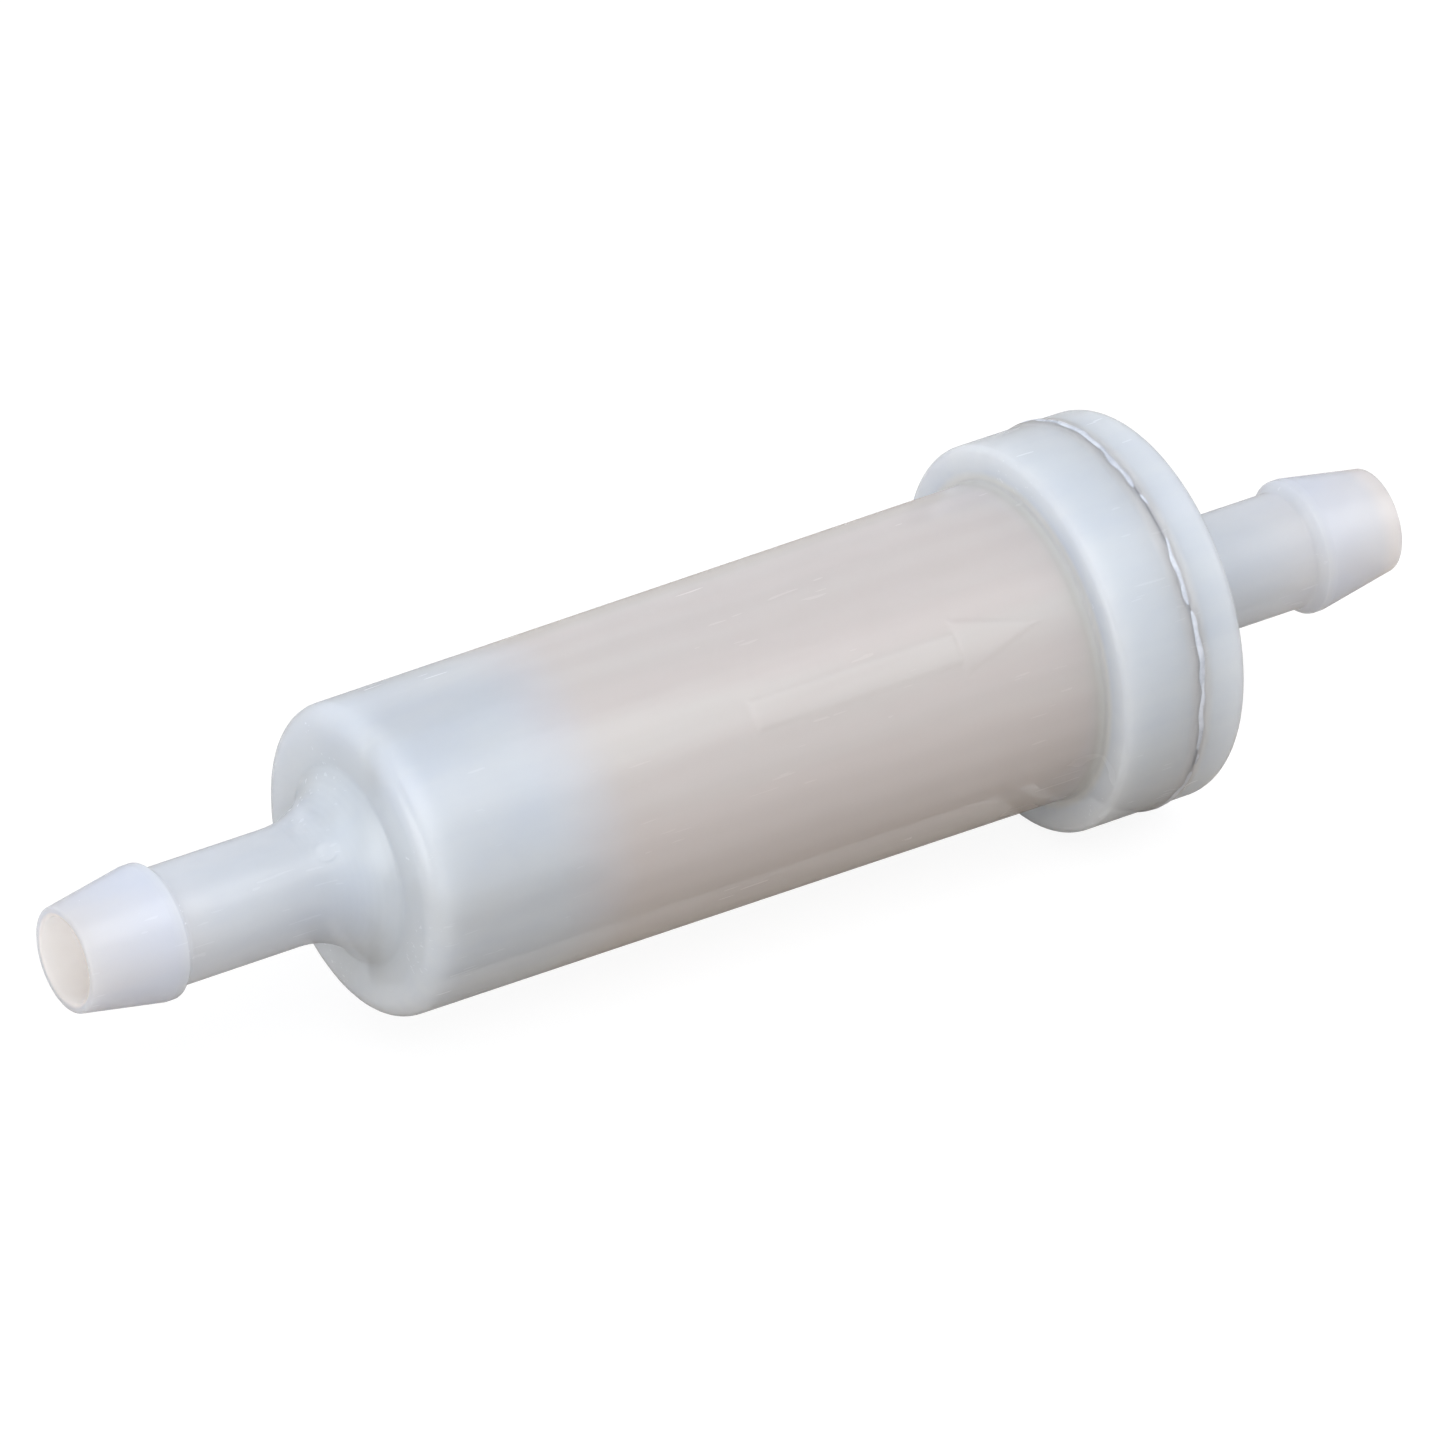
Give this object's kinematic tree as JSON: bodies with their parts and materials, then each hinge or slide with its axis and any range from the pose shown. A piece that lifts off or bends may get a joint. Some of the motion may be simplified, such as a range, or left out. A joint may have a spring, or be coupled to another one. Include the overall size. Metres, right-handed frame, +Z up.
{
  "type": "in-line fuel filter",
  "caption": "Disposable in-line fuel filter: a translucent moulded cup and welded end cap with a barbed hose spigot at each end, round a pleated paper element.",
  "frame": {"origin": "on the axis, at the mouth of the inlet spigot", "axes": "+X along the fuel's flow, from the inlet spigot to the outlet spigot; +Z up"},
  "size_m": [0.084, 0.0224, 0.0224],
  "materials": {
    "cup_nylon": "glossy milky translucent moulding",
    "cap_nylon": "glossy milky translucent moulding",
    "gasket_rubber": "matt black",
    "pleated_paper": "resin-treated beige paper",
    "seam_glue": "dried glue",
    "tube_plastic": "satin natural plastic",
    "disc_plastic": "satin natural plastic",
    "potting_resin": "satin amber resin"
  },
  "bodies": {
    "root": {"housing_cup": "cup_nylon", "end_cap": "cap_nylon", "seat_gasket": "gasket_rubber", "filter_paper": "pleated_paper", "paper_seam_glue": "seam_glue", "centre_tube": "tube_plastic", "inlet_end_disc": "disc_plastic", "outlet_end_disc": "disc_plastic", "inlet_potting": "potting_resin", "outlet_potting": "potting_resin"}
  },
  "joints": []
}
